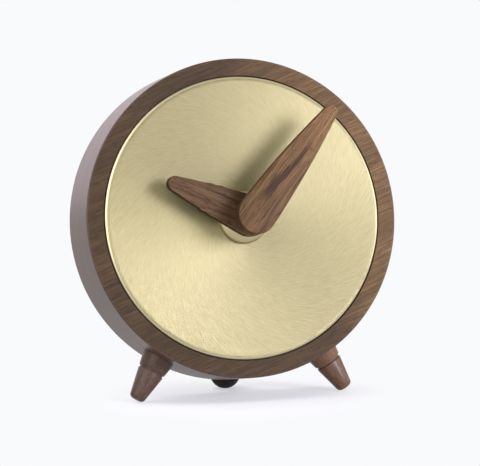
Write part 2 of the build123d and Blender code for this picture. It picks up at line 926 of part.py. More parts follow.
def make_clock_chip():
    """The drop of resin over the chip."""
    drop = disc(chip_radius, board_back - chip_height, board_back, (chip_x, chip_y))
    edge = drop.edges().group_by(Axis.Z)[0]
    return fillet(edge, chip_height / 2)


def make_quartz_crystal():
    """The crystal's can, lying on the board."""
    lying = Pos(crystal_x, crystal_y, board_back - crystal_radius) * Rot(-90, 0, 0)
    return lying * Cylinder(crystal_radius, crystal_length, align=upright)


# Cell and contacts
contact_inside = works_half - contact_margin - contact_thickness
strip_y = works_bottom + contact_slot_gap
strip_back = board_back - contact_strip_width


def make_battery():
    """The round cell, with its positive end to the right."""
    turned = Pos(contact_inside - cell_length, cell_y, cell_z) * Rot(0, 90, 0)
    can_length = cell_length - cell_nub_length
    can = Cylinder(cell_radius, can_length, align=upright)
    can = fillet(can.edges().filter_by(GeomType.CIRCLE), cell_edge_round)
    nub = Cylinder(cell_nub_radius, cell_length, align=upright)
    return turned * (can + nub)


def contact_plate(left):
    """The upright plate at one end of the bay, with the riser that leaves it."""
    right = left + contact_thickness
    plate = block(
        left,
        right,
        cell_y - contact_half_height,
        partition_bottom,
        cell_z - contact_half_height,
        cell_z + contact_half_height,
    )
    riser_top = works_bottom + contact_tab_length
    return plate + block(left, right, partition_bottom, riser_top, strip_back, board_back)


def make_contact_positive():
    """A flat contact, and a strip along the works that ends on the board."""
    contact = contact_plate(contact_inside)
    strip_left = board_right - contact_tab_length
    contact += block(
        strip_left,
        contact_inside,
        strip_y,
        strip_y + contact_thickness,
        strip_back,
        board_back,
    )
    return contact


def make_contact_negative():
    """A sprung contact: its leaf bows out to the flat end of the cell."""
    left = -contact_inside - contact_thickness
    contact = contact_plate(left)
    crest = contact_inside - cell_length
    root = -contact_inside
    low = cell_y - contact_half_height
    high = cell_y + contact_half_height
    outline = Polyline(
        (root, low),
        (crest, cell_y),
        (root, high),
        (root, high - contact_thickness),
        (crest - contact_thickness, cell_y),
        (root, low + contact_thickness),
        close=True,
    )
    half = contact_strip_width / 2
    contact += Pos(0, 0, cell_z - half) * extrude(make_face(outline), 2 * half)
    tab_top = works_bottom + contact_tab_length
    contact += block(
        left,
        board_left + contact_tab_length,
        tab_top - contact_thickness,
        tab_top,
        strip_back,
        board_back,
    )
    return contact


pieces = {
    "case_body": make_case_body(),
    "dial": make_dial(),
    "nut_cover": make_nut_cover(),
    "centre_bush": make_centre_bush(),
    "rubber_washer": make_rubber_washer(),
    "dial_washer": make_dial_washer(),
    "fixing_nut": make_fixing_nut(),
    "hour_hand": make_hour_hand(),
    "hour_hand_bush": make_hour_hand_bush(),
    "minute_hand": make_minute_hand(),
    "minute_hand_bush": make_minute_hand_bush(),
    "front_foot_left": make_front_foot(foot_axes[0]),
    "front_foot_right": make_front_foot(foot_axes[1]),
    "rear_foot": make_rear_foot(),
    "foot_studs": Compound(children=[make_stud(axis) for axis in foot_axes]),
    "movement_housing": make_movement_housing(),
    "movement_cover": make_movement_cover(),
    "middle_plate": make_middle_plate(),
    "hour_wheel": make_hour_wheel(),
    "minute_arbor": make_minute_arbor(),
    "centre_wheel": make_centre_wheel(),
    "motion_wheel": make_motion_wheel(),
    "setting_knob": make_setting_knob(),
    "third_wheel": make_third_wheel(),
    "seconds_wheel": make_seconds_wheel(),
    "drive_wheel": make_drive_wheel(),
    "rotor_pinion": make_rotor_pinion(),
    "rotor_magnet": make_rotor_magnet(),
    "stator": make_stator(),
    "coil_core": make_coil_core(),
    "coil_bobbin": make_coil_bobbin(),
    "coil_winding": make_coil_winding(),
    "stator_screws": Compound(children=[make_stator_screw(y) for y in (-screw_y, screw_y)]),
    "circuit_board": make_circuit_board(),
    "clock_chip": make_clock_chip(),
    "quartz_crystal": make_quartz_crystal(),
    "battery": make_battery(),
    "contact_positive": make_contact_positive(),
    "contact_negative": make_contact_negative(),
}

# Standing: the bench frame leans back, and the feet are cut flat at the table
standing = Plane(
    origin=(0, 0, axis_height), x_dir=(1, 0, 0), z_dir=(0, -math.cos(lean), math.sin(lean))
).location
below_table = Pos(0, 0, -axis_height) * Box(
    4 * case_radius, 4 * case_radius, axis_height, align=upright
)
placed = {name: standing * piece for name, piece in pieces.items()}
for name in ("front_foot_left", "front_foot_right", "rear_foot"):
    placed[name] = placed[name] - below_table

# The origin lies on the table, under the middle of the whole clock's box
boxes = [piece.bounding_box() for piece in placed.values()]
middle_y = (min(box.min.Y for box in boxes) + max(box.max.Y for box in boxes)) / 2
print("the middle of the box lies behind the ring's front by", round(middle_y, 3))

os.makedirs("parts", exist_ok=True)
for name, piece in placed.items():
    export_step(Pos(0, -middle_y, 0) * piece, f"parts/{name}.step")
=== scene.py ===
# %% [markdown]
# A wooden desk clock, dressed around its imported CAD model.
#
# Nothing of it is moved here: pieces that need a finer shape are modelled again and replace
# their node, and the rest get a finish.

# %% Load the frame
import json
import math

import bmesh
import bpy
from mathutils import Matrix, Vector


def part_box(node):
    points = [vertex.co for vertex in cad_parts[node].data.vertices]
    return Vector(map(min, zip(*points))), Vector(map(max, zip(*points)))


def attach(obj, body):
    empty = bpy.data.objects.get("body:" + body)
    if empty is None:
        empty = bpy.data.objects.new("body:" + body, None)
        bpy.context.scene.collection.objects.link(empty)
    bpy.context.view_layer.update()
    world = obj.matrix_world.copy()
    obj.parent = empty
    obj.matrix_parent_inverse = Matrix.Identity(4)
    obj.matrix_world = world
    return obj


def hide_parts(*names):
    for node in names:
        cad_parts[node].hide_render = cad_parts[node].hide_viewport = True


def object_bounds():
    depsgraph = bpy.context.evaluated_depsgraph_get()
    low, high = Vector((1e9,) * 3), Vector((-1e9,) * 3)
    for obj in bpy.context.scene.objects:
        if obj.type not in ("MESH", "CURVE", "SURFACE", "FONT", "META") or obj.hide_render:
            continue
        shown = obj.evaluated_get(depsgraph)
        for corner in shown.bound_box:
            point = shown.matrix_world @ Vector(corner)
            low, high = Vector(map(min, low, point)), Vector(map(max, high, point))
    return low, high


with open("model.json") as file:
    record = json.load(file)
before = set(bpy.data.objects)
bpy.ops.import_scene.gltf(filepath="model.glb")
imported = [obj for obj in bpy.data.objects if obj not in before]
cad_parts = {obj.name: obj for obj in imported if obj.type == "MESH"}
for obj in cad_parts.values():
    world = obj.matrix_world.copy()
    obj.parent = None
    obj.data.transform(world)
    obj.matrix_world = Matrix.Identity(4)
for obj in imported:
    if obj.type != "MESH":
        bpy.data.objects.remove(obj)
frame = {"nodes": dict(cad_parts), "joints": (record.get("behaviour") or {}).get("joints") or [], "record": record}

cad_box = [list(corner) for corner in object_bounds()]
mm = 0.001
print("CAD nodes", len(frame["nodes"]))

# %% [markdown]
# The clock leans back, so its round parts are easiest to think of in a bench frame: X to the
# right, Y towards the twelve, Z out of the dial, with Z = 0 at the ring's front face. The minute
# hand's joint gives the axis, and the case's own box gives its radius and depth.

# %% Find the bench frame
minute_joint = next(j for j in frame["joints"] if j["name"] == "minute_spin")
into_clock = Vector(minute_joint["axis"]).normalized()
out = -into_clock
up = Vector((1, 0, 0)).cross(into_clock)
if up.z < 0:
    up = -up
case_low, case_high = (Vector(corner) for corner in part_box("case_body"))
case_radius = (case_high.x - case_low.x) / 2
case_depth = (case_high.y - case_low.y - 2 * case_radius * abs(out.z)) / abs(out.y)
case_centre = (case_low + case_high) / 2
ring_front = case_centre + out * case_depth / 2
turn = Matrix((Vector((1, 0, 0)), up, out)).transposed()
bench = Matrix.Translation(ring_front) @ turn.to_4x4()
lean = math.asin(out.z)
print("case radius", round(case_radius / mm, 2), "depth", round(case_depth / mm, 2), "mm")
print("lean", round(math.degrees(lean), 2), "degrees; ring's centre at", tuple(ring_front))

# %% [markdown]
# A finish is a Principled shader with the nodes that vary it. Two small helpers keep the wiring
# readable: a Wire is a node's output that Python can add, subtract, multiply and divide, and
# Finish.node adds any other node from its type, its settings and its inputs.


# %% Wires and finishes
class Wire:
    """A node's output. Arithmetic on it adds Math nodes."""

    def __init__(self, finish, socket):
        self.finish = finish
        self.socket = socket

    def __add__(self, other):
        return self.finish.maths("ADD", self, other)

    def __radd__(self, other):
        return self.finish.maths("ADD", other, self)

    def __sub__(self, other):
        return self.finish.maths("SUBTRACT", self, other)

    def __rsub__(self, other):
        return self.finish.maths("SUBTRACT", other, self)

    def __mul__(self, other):
        return self.finish.maths("MULTIPLY", self, other)

    def __rmul__(self, other):
        return self.finish.maths("MULTIPLY", other, self)

    def __truediv__(self, other):
        return self.finish.maths("DIVIDE", self, other)


class Finish:
    """A material that is being wired."""

    def __init__(self, name):
        self.material = bpy.data.materials.new(name)
        self.material.use_nodes = True
        self.tree = self.material.node_tree
        self.shader = self.tree.nodes["Principled BSDF"]

    def node(self, kind, settings=None, inputs=None, output=0):
        """Adds a node: its settings are set first, then its sockets."""
        made = self.tree.nodes.new("ShaderNode" + kind)
        for name, value in (settings or {}).items():
            if name == "stops":
                self.set_stops(made.color_ramp, value)
            else:
                setattr(made, name, value)
        for name, value in (inputs or {}).items():
            self.feed(made.inputs[name], value)
        return Wire(self, made.outputs[output])

    def set_stops(self, ramp, stops):
        """Gives a colour ramp its (position, colour) stops."""
        while len(ramp.elements) < len(stops):
            ramp.elements.new(1.0)
        for element, (position, colour) in zip(ramp.elements, stops):
            element.position = position
            element.color = (*colour, 1)

    def feed(self, socket, value):
        """Links a wire to a socket, or sets the socket's own value."""
        if isinstance(value, Wire):
            self.tree.links.new(value.socket, socket)
        elif socket.type == "RGBA":
            socket.default_value = (*value, 1)
        else:
            socket.default_value = value

    def maths(self, operation, first, second=0.0):
        return self.node("Math", {"operation": operation}, {0: first, 1: second})

    def mixed(self, share, first, second):
        """One colour over another, by share."""
        return self.node("Mix", {"data_type": "RGBA"}, {0: share, 6: first, 7: second}, 2)

    def smooth(self, value, low, high):
        """0 below low and 1 above high, with soft ends."""
        settings = {"interpolation_type": "SMOOTHSTEP"}
        inputs = {"Value": value, "From Min": low, "From Max": high}
        return self.node("MapRange", settings, inputs)

    def ramp(self, value, *stops):
        return self.node("ValToRGB", {"stops": stops}, {"Fac": value})

    def noise(self, vector, scale, detail=2.0, roughness=0.5):
        inputs = {"Vector": vector, "Scale": scale, "Detail": detail, "Roughness": roughness}
        return self.node("TexNoise", None, inputs)

    def object_space(self):
        return self.node("TexCoord", output=3)

    def bench_space(self, place=bench):
        """Object coordinates turned and moved into a bench frame, in metres."""
        inputs = {
            "Vector": self.object_space(),
            "Location": place.to_translation(),
            "Rotation": place.to_euler(),
        }
        return self.node("Mapping", {"vector_type": "TEXTURE"}, inputs)

    def stretched(self, vector, scale):
        return self.node("VectorMath", {"operation": "MULTIPLY"}, {0: vector, 1: scale})

    def parts(self, vector):
        """The three components of a vector."""
        split = self.node("SeparateXYZ", None, {"Vector": vector})
        outputs = split.socket.node.outputs
        return [Wire(self, socket) for socket in outputs]

    def radius_from(self, vector):
        """The distance from the dial's axis, for a vector in the bench frame."""
        x, y, _ = self.parts(vector)
        return self.maths("SQRT", x * x + y * y)

    def surface_normal(self):
        return self.node("NewGeometry", output=1)

    def joined(self, x, y, z):
        return self.node("CombineXYZ", None, {"X": x, "Y": y, "Z": z})

    def bump(self, height, distance):
        """A normal that leans with a height, over a distance in metres."""
        return self.node("Bump", None, {"Height": height, "Distance": distance, "Strength": 1.0})

    def set(self, **sockets):
        """Sets or links the shader's own sockets, named with underscores for spaces."""
        for name, value in sockets.items():
            self.feed(self.shader.inputs[name.replace("_", " ")], value)
        return self.material


# %% [markdown]
# Walnut has one direction along which everything is drawn out, so one noise that is stretched
# along the board does most of the work. Broad bands change slowly, streaks and fibres are the
# same noise made much narrower, and pores are short dark dashes where a fourth noise passes a
# threshold. The surface is oiled rather than lacquered, so it has hardly any coat and little gloss.
#
# The case was turned on a lathe, which leaves fine lines round its side, and the side is polished more than the
# front. The side also gets a purple tint, a painted sheen that gives the reflection on it its lavender hue. The
# ring is painted paler from left to right, partly as the wood's own tone and partly as painted light, the stronger
# light and sheen on its right, so the finish takes the places between which it does, and how pale it is at each.


# %% Walnut
# Waves of each noise for every metre along the board, across it and through it.
band_waves = (16, 90, 90)
streak_waves = (55, 1300, 1300)
fibre_waves = (90, 3200, 3200)
pore_waves = (420, 4200, 4200)
heart_waves = (120, 500, 500)
# The lathe's lines are fine only along the dial's axis.
lathe_waves = (45, 45, 2400)
heart_darkness = 0.22
pore_darkness = 0.3
# A purple tint on the case's side: a painted sheen for the lavender reflection on it.
painted_side_sheen = (0.085, 0.030, 0.034)
side_coat = 0.38


def walnut(
    name, place, tones, pores, contrast=1.0, heart=None, sides=None, pale_end=None, edges=0.0,
    coat=0.05, gloss=0.16,
):
    """A walnut finish whose grain runs along X of the place's frame."""
    finish = Finish(name)
    board = finish.bench_space(place)
    bands = finish.noise(finish.stretched(board, band_waves), 1.0, 2.0)
    streaks = finish.noise(finish.stretched(board, streak_waves), 1.0, 4.0, 0.6)
    fibres = finish.noise(finish.stretched(board, fibre_waves), 1.0, 3.0, 0.6)
    dashes = finish.noise(finish.stretched(board, pore_waves), 1.0, 1.0)
    pore = finish.smooth(dashes, 0.60, 0.72)
    level = (bands - 0.5) * 0.7 + (streaks - 0.5) * 0.8 + (fibres - 0.5) * 1.2
    level = level * contrast + 0.5
    if heart is not None:
        level = level - dark_heart(finish, board, **heart)
    if sides is not None:
        bench_place = finish.bench_space()
        radius = finish.radius_from(bench_place)
        side = finish.smooth(radius, sides - 0.6 * mm, sides - 0.1 * mm)
        lines = finish.noise(finish.stretched(bench_place, lathe_waves), 1.0, 3.0, 0.6)
        lined = side * 0.75
        level = level * (1 - lined) + (lines * 1.3 - 0.1) * lined
    tone = finish.smooth(level, 0.15, 0.85)
    colour = finish.ramp(tone, (0.0, tones[0]), (0.5, tones[1]), (1.0, tones[2]))
    # The colour grows paler along the board between two places. On the ring this is partly the wood's own tone and
    # partly painted light on its right.
    if pale_end is not None:
        along, _, _ = finish.parts(board)
        start, end, dark, pale = pale_end
        paler = finish.smooth(along, start, end) * (pale - dark) + dark
        colour = finish.node("VectorMath", {"operation": "SCALE"}, {0: colour, "Scale": paler})
    pore_colour = tuple(part * pore_darkness for part in tones[0])
    colour = finish.mixed(pore * pores, colour, pore_colour)
    # Faces turned away from the dial are darkened towards the darkest tone: painted shade on the sides of the
    # hands.
    if edges:
        normal = finish.surface_normal()
        facing = finish.node("VectorMath", {"operation": "DOT_PRODUCT"}, {0: normal, 1: out}, 1)
        painted_shade_on_sides = 1 - finish.smooth(facing, 0.35, 0.8)
        colour = finish.mixed(painted_shade_on_sides * edges, colour, tones[0])
    if sides is not None:
        # The side is tinted purple: painted sheen.
        colour = finish.mixed(side * 0.3, colour, painted_side_sheen)
        coat = side * side_coat + coat
    return finish.set(
        Base_Color=colour,
        Roughness=finish.smooth(fibres, 0.2, 0.8) * 0.14 + 0.46,
        Normal=finish.bump(fibres * 0.4 - pore, 0.05 * mm),
        Coat_Weight=coat,
        Coat_Roughness=0.3,
        Specular_IOR_Level=gloss,
    )


def dark_heart(finish, board, offset, slope, half_width, start, end):
    """How much darker the wood is along a wavering streak of heartwood."""
    along, across, _ = finish.parts(board)
    waver = finish.noise(finish.stretched(board, heart_waves), 1.0, 3.0, 0.6)
    away = across - offset - along * slope + (waver - 0.5) * (2.5 * half_width)
    away = finish.maths("ABSOLUTE", away)
    near = 1 - finish.smooth(away, half_width * 0.2, half_width)
    begins = finish.smooth(along, start, start + 4 * half_width)
    ends = 1 - finish.smooth(along, end - 8 * half_width, end)
    return near * begins * ends * heart_darkness


def turned_about(location, along, face):
    """A frame whose X runs along one direction and whose Z is near another."""
    x = along.normalized()
    y = face.cross(x).normalized()
    z = x.cross(y)
    axes = Matrix((x, y, z)).transposed().to_4x4()
    return Matrix.Translation(location) @ axes


ring_grain_deg = 21.0
ring_grain = Matrix.Rotation(math.radians(ring_grain_deg), 3, "Z") @ Vector((1, 0, 0))
ring_board = ring_front + Vector((4 * mm, 0, 0))
ring_place = turned_about(ring_board, turn @ ring_grain, out)
case_tones = ((0.025, 0.0134, 0.0042), (0.050, 0.0270, 0.0088), (0.112, 0.063, 0.023))
# The ring's pale end is partly its own tone and partly painted light: the stronger light and sheen on its right.
walnut_case = walnut(
    "walnut_case", ring_place, case_tones, pores=0.35, contrast=0.6, sides=case_radius,
    pale_end=(4 * mm, 36 * mm, 0.93, 2.38), gloss=0.12,
)
print("case finish", walnut_case.name)

# %% [markdown]
# The hands and the feet are walnut too, each with the grain along its own length. A hand points
# away from the dial's axis, so the direction of its grain is that of its farthest points. Each
# hand has a streak of darker heartwood, as a piece cut from the middle of a board has.


# %% Walnut of the hands and the feet
def pointing(node):
    """The direction across the dial in which the farthest points of a node lie."""
    offsets = [vertex.co - ring_front for vertex in frame["nodes"][node].data.vertices]
    flat = [offset - out * offset.dot(out) for offset in offsets]
    reach = max(offset.length for offset in flat)
    tip = sum((offset for offset in flat if offset.length > 0.99 * reach), Vector())
    return tip.normalized()


hand_tones = ((0.044, 0.022, 0.010), (0.172, 0.093, 0.037), (0.275, 0.160, 0.068))
hour_tones = ((0.024, 0.013, 0.006), (0.088, 0.047, 0.020), (0.158, 0.089, 0.041))
# The left foot's tones are darker than the right foot's: painted shade.
foot_tones = {
    "front_foot_left": ((0.030, 0.014, 0.009), (0.070, 0.035, 0.021), (0.120, 0.064, 0.039)),
    "front_foot_right": ((0.042, 0.020, 0.011), (0.118, 0.057, 0.028), (0.203, 0.104, 0.053)),
}
# The rear foot's very dark tones are painted shade, for the shadow under the case.
rear_shade_tones = ((0.006, 0.002, 0.002), (0.016, 0.006, 0.005), (0.028, 0.011, 0.009))
minute_place = turned_about(ring_front, pointing("minute_hand"), out)
hour_board = ring_front + Vector((0, 0, 4 * mm))
hour_place = turned_about(hour_board, pointing("hour_hand"), out)
minute_heart = {
    "offset": 2.6 * mm, "slope": -0.13, "half_width": 2.0 * mm, "start": 2 * mm, "end": 36 * mm
}
hour_heart = {
    "offset": -2.2 * mm, "slope": -0.02, "half_width": 1.6 * mm, "start": 4 * mm, "end": 26 * mm
}
# The hands' edges value paints shade on their sides.
walnut_minute = walnut(
    "walnut_minute_hand", minute_place, hand_tones, pores=0.7, contrast=0.6, heart=minute_heart,
    pale_end=(0.0, 45 * mm, 0.81, 1.16), edges=0.95, coat=0.0, gloss=0.1,
)
walnut_hour = walnut(
    "walnut_hour_hand", hour_place, hour_tones, pores=0.8, contrast=0.6, heart=hour_heart,
    edges=0.95, coat=0.0, gloss=0.1,
)
walnut_feet = {}
for node, tones in foot_tones.items():
    foot_place = turned_about(ring_front, pointing(node), out)
    walnut_feet[node] = walnut(
        "walnut_" + node, foot_place, tones, pores=0.35, contrast=0.6, coat=0.28
    )
rear_place = turned_about(ring_front, Vector((0, 0.4, -1)), out)
# Its tones carry painted shade.
walnut_feet["rear_foot"] = walnut(
    "walnut_rear_foot_shaded", rear_place, rear_shade_tones, pores=0.7, coat=0.0, gloss=0.08
)
print("hand and foot finishes", 2 + len(walnut_feet))

# %% [markdown]
# The dial is brushed in a swirl: every stroke crosses the circle about the hub at the same angle,
# which makes each one a piece of a logarithmic spiral. Taking the logarithm of the radius off the
# angle makes the strokes straight, so plain noise can be drawn out along them.
#
# What makes brushed metal look brushed is that each stroke is a tiny furrow, whose walls lean to
# both sides. So the normal is leaned across the strokes by that noise. Where the furrows lie
# square to the lamp, the dial is bright, and where they run towards it, it stays dark.


# %% Brushed brass
stroke_slant_deg = 52.0
rim_starts = 43.4 * mm
dial_tones = ((0.216, 0.187, 0.093), (0.270, 0.233, 0.120), (0.328, 0.286, 0.157))
# A paler colour on the dial's rim: a painted highlight for the bright band it catches.
painted_rim_highlight = (0.62, 0.55, 0.36)


def brushed_brass():
    """Swirl-brushed brass for the dial."""
    finish = Finish("brushed_brass")
    x, y, _ = finish.parts(finish.bench_space())
    radius = finish.maths("SQRT", x * x + y * y)
    angle = finish.maths("ARCTAN2", y, x)
    reach = finish.maths("LOGARITHM", radius / mm + 1.0, math.e)
    stroke = angle - reach * math.tan(math.radians(stroke_slant_deg))
    around_x = finish.maths("COSINE", stroke)
    around_y = finish.maths("SINE", stroke)

    def strokes(side_by_side, end_to_end, detail=2.0):
        """Noise drawn out along the strokes. Larger numbers make them narrower and shorter."""
        x_wave = around_x * side_by_side
        y_wave = around_y * side_by_side
        return finish.noise(finish.joined(x_wave, y_wave, reach * end_to_end), 1.0, detail, 0.6)

    near_hub = strokes(60.0, 6.0)
    far_out = strokes(230.0, 18.0)
    outer = finish.smooth(radius, 10 * mm, 22 * mm)
    coarse = near_hub * (1 - outer) + far_out * outer
    fine = strokes(12000.0, 120.0, detail=1.0)
    rim = finish.smooth(radius, rim_starts, rim_starts + 0.4 * mm)
    lean_by = ((fine - 0.5) * 3.8 + (coarse - 0.5) * 0.3) * (1 - rim)
    across = angle + math.radians(stroke_slant_deg + 90)
    across_y = finish.maths("SINE", across)
    sideways = finish.joined(finish.maths("COSINE", across), across_y * up.y, across_y * up.z)
    plain_normal = finish.surface_normal()
    furrow = finish.node("VectorMath", {"operation": "SCALE"}, {0: sideways, "Scale": lean_by})
    normal = finish.node("VectorMath", {"operation": "ADD"}, {0: plain_normal, 1: furrow})
    tone = finish.smooth((coarse - 0.5) * 1.4 + 0.5, 0.0, 1.0)
    colour = finish.ramp(tone, (0.0, dial_tones[0]), (0.5, dial_tones[1]), (1.0, dial_tones[2]))
    # Painted highlight on the rim.
    colour = finish.mixed(rim * 0.6, colour, painted_rim_highlight)
    return finish.set(
        Base_Color=colour,
        Metallic=1.0,
        Roughness=(coarse * 0.06 + 0.385) * (1 - rim * 0.15),
        Normal=finish.node("VectorMath", {"operation": "NORMALIZE"}, {0: normal}),
    )


def turned_brass():
    """Smoother brass for the nut cover and the bushes, turned on a lathe."""
    finish = Finish("turned_brass")
    place = finish.bench_space()
    radius = finish.radius_from(place)
    _, _, z = finish.parts(place)
    rings = finish.noise(finish.joined(radius * 6000, z * 6000, 0.0), 1.0, 2.0)
    colour = finish.ramp(rings, (0.3, (0.42, 0.36, 0.21)), (0.7, (0.50, 0.43, 0.255)))
    return finish.set(
        Base_Color=colour,
        Metallic=1.0,
        Roughness=rings * 0.1 + 0.36,
        Normal=finish.bump(rings, 0.01 * mm),
    )


brass_dial = brushed_brass()
brass_turned = turned_brass()
print("brass finishes", brass_dial.name, brass_turned.name)

# %% [markdown]
# The works behind the dial are plain mouldings and small metal parts. One function makes each of
# these finishes: a fine grain in the surface, a little unevenness in colour and gloss.


# %% Plain finishes of the works
def plain(name, colour, metal=0.0, roughness=0.5, depth=0.01 * mm):
    """A moulding or a plain metal part, with a fine grain and a faint cloud."""
    finish = Finish(name)
    place = finish.object_space()
    grain = finish.noise(place, 4000, 2.0)
    cloud = finish.noise(place, 90, 2.0)
    shade = finish.mixed(cloud * 0.5, colour, tuple(part * 0.75 for part in colour))
    return finish.set(
        Base_Color=shade,
        Metallic=metal,
        Roughness=grain * 0.15 + roughness,
        Normal=finish.bump(grain, depth),
    )


plain_finishes = {
    "black_rubber": plain("black_rubber", (0.02, 0.02, 0.02), roughness=0.7),
    "steel": plain("steel", (0.55, 0.55, 0.55), metal=1.0, roughness=0.3),
    "magnet": plain("magnet", (0.28, 0.28, 0.29), metal=1.0, roughness=0.3),
    "soft_iron": plain("soft_iron", (0.45, 0.45, 0.44), metal=1.0, roughness=0.4),
    "copper_wire": plain("copper_wire", (0.62, 0.27, 0.13), metal=1.0, roughness=0.3),
    "black_plastic": plain("black_plastic", (0.028, 0.028, 0.03), roughness=0.45, depth=0.03 * mm),
    "knob_plastic": plain("knob_plastic", (0.04, 0.04, 0.042), roughness=0.35),
    "pale_plastic": plain("pale_plastic", (0.70, 0.69, 0.64), roughness=0.4),
    "wheel_plastic": plain("wheel_plastic", (0.75, 0.74, 0.69), roughness=0.4),
    "board": plain("board", (0.04, 0.16, 0.07), roughness=0.35),
    "chip_resin": plain("chip_resin", (0.01, 0.01, 0.01), roughness=0.15),
    "crystal_can": plain("crystal_can", (0.6, 0.6, 0.61), metal=1.0, roughness=0.25),
    "cell_jacket": plain("cell_jacket", (0.09, 0.09, 0.10), roughness=0.25),
    "contact_spring": plain("contact_spring", (0.62, 0.61, 0.58), metal=1.0, roughness=0.25),
}
print("plain finishes", len(plain_finishes))

# %% [markdown]
# The cell's jacket is a printed sleeve: dark, with a paler band near the positive end, and the
# steel of the can shows at both ends. All of it follows from the place along the cell.


# %% Finish of the cell
def cell_finish(start, length, roll, button):
    """A dark sleeve with a pale band, between two bare steel ends."""
    finish = Finish("cell_sleeve")
    along, _, _ = finish.parts(finish.object_space())
    along = along - start
    steel_end = length - button - roll * 0.9
    bare = finish.maths("GREATER_THAN", along, steel_end)
    bare = bare + finish.maths("LESS_THAN", along, roll * 0.9)
    band_start = length * 0.80
    band_end = length * 0.86
    band = finish.maths("GREATER_THAN", along, band_start)
    band = band * finish.maths("LESS_THAN", along, band_end)
    sleeve = finish.mixed(band, (0.035, 0.045, 0.07), (0.50, 0.51, 0.53))
    scuffs = finish.noise(finish.object_space(), 900.0, 3.0)
    return finish.set(
        Base_Color=finish.mixed(bare, sleeve, (0.60, 0.60, 0.60)),
        Metallic=bare,
        Roughness=scuffs * 0.15 + 0.22,
    )


# %% [markdown]
# Every CAD node gets its finish now, also those that a finer piece replaces later. A node with a
# finish of its own takes that one, and the others follow the slot in the record.

# %% Give every CAD node its finish
own_finish = {
    "case_body": walnut_case,
    "dial": brass_dial,
    "nut_cover": brass_turned,
    "hour_hand": walnut_hour,
    "minute_hand": walnut_minute,
    **walnut_feet,
}
slot_finish = {"turned_brass": brass_turned, **plain_finishes}
for part in frame["record"]["subparts"]:
    node = frame["nodes"][part["node"]]
    finish = own_finish.get(part["node"]) or slot_finish[part["material_slot"]]
    node.data.materials.clear()
    node.data.materials.append(finish)

# %% [markdown]
# The pieces that show get a finer mesh of their own. Each is modelled flat on the bench, with Z
# out of the dial, starting from a primitive, and is shaped in edit mode. In edit mode an operator
# acts on what is selected, so one helper selects by place. At the end the piece is turned into the
# leaning frame of the clock and that turn is applied, which leaves its object at the origin.


# %% Helpers for modelling
smooth_angle = math.radians(35)
weld_reach = 0.002 * mm
cut_slack = 0.001 * mm
same_place = 0.01 * mm


def select_all_objects_off():
    bpy.ops.object.select_all(action="DESELECT")


def pick_only(piece):
    """Selects one object and nothing else, and makes it the active one."""
    select_all_objects_off()
    piece.select_set(True)
    bpy.context.view_layer.objects.active = piece


def start_edit(name):
    """Names the new primitive and opens it in edit mode with nothing selected."""
    bpy.ops.object.transform_apply(location=True, rotation=True, scale=True)
    piece = bpy.context.object
    piece.name = name
    piece.data.name = name
    bpy.ops.object.mode_set(mode="EDIT")
    bpy.ops.mesh.select_all(action="DESELECT")
    return piece


def choose(piece, kind, test):
    """Selects the vertices or edges whose every corner passes a test of its place."""
    bpy.ops.mesh.select_mode(type=kind)
    bpy.ops.mesh.select_all(action="DESELECT")
    edit = bmesh.from_edit_mesh(piece.data)
    items = {"VERT": edit.verts, "EDGE": edit.edges}[kind]
    for item in items:
        corners = [item] if kind == "VERT" else item.verts
        if all(test(corner.co) for corner in corners):
            item.select_set(True)
    edit.select_flush_mode()
    bmesh.update_edit_mesh(piece.data)


def near(value, level):
    return abs(value - level) < same_place


def turn_on_lathe(name, level, radius, stations, vertices):
    """Extrudes a disc through (level, radius) stations, and leaves it in edit mode."""
    select_all_objects_off()
    bpy.ops.mesh.primitive_circle_add(
        vertices=vertices, radius=radius, fill_type="NGON", location=(0, 0, level)
    )
    piece = start_edit(name)
    bpy.ops.mesh.select_mode(type="FACE")
    bpy.ops.mesh.select_all(action="SELECT")
    for next_level, next_radius in stations:
        bpy.ops.mesh.extrude_region_move(
            TRANSFORM_OT_translate={"value": (0, 0, next_level - level)}
        )
        share = next_radius / radius
        bpy.ops.transform.resize(value=(share, share, 1), center_override=(0, 0, next_level))
        level = next_level
        radius = next_radius
    return piece


def end_edit(piece, place):
    """Closes edit mode, turns the piece into its place, applies that and smooths it."""
    bpy.ops.mesh.select_all(action="SELECT")
    bpy.ops.mesh.remove_doubles(threshold=weld_reach)
    bpy.ops.mesh.normals_make_consistent(inside=False)
    bpy.ops.object.mode_set(mode="OBJECT")
    piece.matrix_world = place
    pick_only(piece)
    bpy.ops.object.transform_apply(location=True, rotation=True, scale=True)
    bpy.ops.object.shade_smooth_by_angle(angle=smooth_angle)


def cut_away(piece, tool):
    """Takes a tool's shape out of a piece, and removes the tool."""
    modifier = piece.modifiers.new("cut", "BOOLEAN")
    modifier.object = tool
    modifier.solver = "EXACT"
    pick_only(piece)
    bpy.ops.object.modifier_apply(modifier=modifier.name)
    bpy.data.objects.remove(tool, do_unlink=True)


def round_bar(radius, back, front, vertices=96):
    """A plain round bar about the dial's axis, as a cutting tool."""
    select_all_objects_off()
    middle = (0, 0, (back + front) / 2)
    bpy.ops.mesh.primitive_cylinder_add(
        vertices=vertices, radius=radius, depth=front - back, location=middle
    )
    bar = bpy.context.object
    bar.matrix_world = bench @ bar.matrix_world
    bpy.ops.object.transform_apply(location=True, rotation=True, scale=True)
    return bar


def dress(piece, finish, body, slot, *nodes):
    """Gives a finished piece its material and its body, and hides the nodes that it replaces; the slot is not
    used.
    """
    piece.data.materials.clear()
    piece.data.materials.append(finish)
    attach(piece, body)
    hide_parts(*nodes)
    print(piece.name, "faces", len(piece.data.polygons))


def span(node, direction):
    """How far a CAD node reaches along a direction, from the middle of the ring's front."""
    places = [vertex.co - ring_front for vertex in frame["nodes"][node].data.vertices]
    reach = [offset.dot(direction) for offset in places]
    return min(reach), max(reach)


print("modelling helpers ready")

